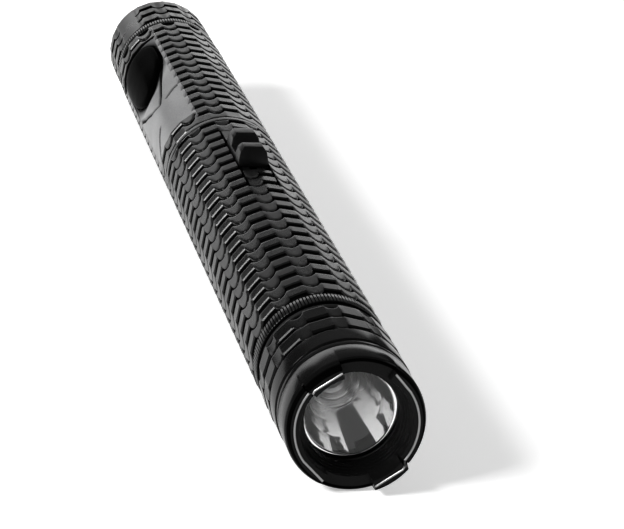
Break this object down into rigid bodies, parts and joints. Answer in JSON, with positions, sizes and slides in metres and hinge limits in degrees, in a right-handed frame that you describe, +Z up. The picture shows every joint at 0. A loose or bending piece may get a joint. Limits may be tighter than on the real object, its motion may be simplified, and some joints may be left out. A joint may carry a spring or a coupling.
{
  "type": "tactical flashlight",
  "caption": "Long black duty flashlight with a ribbed round barrel, notched bezel, slide switch on top, thumb button near the tail and a screw-off tail cap.",
  "frame": {"origin": "centre of the light's bounding box, on the surface that it lies on", "axes": "-Y is the way the beam leaves, +Y points to the tail cap, +Z is up through the slide switch"},
  "size_m": [0.04, 0.3816, 0.045],
  "materials": {
    "gloss_black_metal": "gloss",
    "bright_metal": "satin",
    "clear_glass": "clear",
    "mirror": "polished",
    "phosphor": "gloss",
    "rubber_black": "matte",
    "raw_aluminium": "satin",
    "circuit_board": "gloss",
    "satin_black_body": "satin",
    "smooth_grey_panel": "satin",
    "gloss_black_plastic": "gloss",
    "grained_black_plastic": "matte",
    "ivory_plastic": "matte",
    "spring_steel": "satin",
    "contact_brass": "polished",
    "red_insulation": "matte",
    "cell_wrap": "gloss",
    "grey_plastic": "matte"
  },
  "bodies": {
    "housing": {"head_housing": "gloss_black_metal", "head_oring": "rubber_black", "reflector": "mirror", "led_emitter": "phosphor", "led_board": "bright_metal", "heat_sink": "raw_aluminium", "driver_board": "circuit_board", "driver_contact": "spring_steel", "front_knurled_ring": "satin_black_body", "front_body": "satin_black_body", "joint_ring": "satin_black_body", "rear_body": "satin_black_body", "rear_knurled_ring": "satin_black_body", "side_panel": "smooth_grey_panel", "button_seal": "rubber_black", "button_switch": "gloss_black_plastic", "button_spring": "spring_steel", "button_board": "circuit_board", "button_board_screws": "spring_steel", "button_leads": "red_insulation", "switch_insert": "satin_black_body", "slide_switch_body": "gloss_black_plastic", "switch_board": "circuit_board", "switch_leads": "red_insulation", "battery_cell_1": "cell_wrap", "battery_cell_2": "cell_wrap", "battery_cell_3": "cell_wrap", "battery_cell_4": "cell_wrap", "battery_carrier": "grey_plastic", "front_cell_contact": "contact_brass", "rear_cell_contact": "contact_brass"},
    "lens_pack": {"lens": "clear_glass", "lens_oring": "rubber_black"},
    "bezel": {"bezel_ring": "gloss_black_metal", "bezel_strip_left": "bright_metal", "bezel_strip_right": "bright_metal"},
    "knob": {"slide_knob": "grained_black_plastic", "slide_actuator": "gloss_black_plastic", "detent_ball": "spring_steel", "detent_spring": "spring_steel"},
    "button": {"push_button": "gloss_black_plastic", "button_plunger": "ivory_plastic"},
    "tail_contact_pack": {"tail_insulator": "ivory_plastic", "tail_contact": "contact_brass", "tail_spring": "spring_steel"},
    "cap": {"tail_cap": "satin_black_body", "tail_oring": "rubber_black"}
  },
  "joints": [
    {"name": "slide_switch", "type": "slide", "parent": "housing", "child": "knob", "axis": [0, -1, 0], "range_m": [0, 0.006]},
    {"name": "push_button", "type": "slide", "parent": "housing", "child": "button", "axis": [0.9239, 0, -0.3827], "range_m": [0, 0.001], "stiffness_N_per_m": 2500, "springref_m": -0.0012, "deforming": ["button_spring"]},
    {"name": "bezel_travel", "type": "slide", "parent": "housing", "child": "lens_pack", "axis": [0, -1, 0], "range_m": [0, 0.009]},
    {"name": "bezel_turn", "type": "hinge", "parent": "lens_pack", "child": "bezel", "pos_m": [0, 0, 0.02], "axis": [0, 1, 0], "range_deg": [0, 2160]},
    {"name": "cap_travel", "type": "slide", "parent": "housing", "child": "tail_contact_pack", "axis": [0, 1, 0], "range_m": [0, 0.014]},
    {"name": "cap_turn", "type": "hinge", "parent": "tail_contact_pack", "child": "cap", "pos_m": [0, 0, 0.02], "axis": [0, -1, 0], "range_deg": [0, 2520]}
  ],
  "couplings": [
    {"joint": "bezel_turn", "follows": "bezel_travel", "rad_per_m": 4188.8},
    {"joint": "cap_turn", "follows": "cap_travel", "rad_per_m": 3141.6}
  ]
}
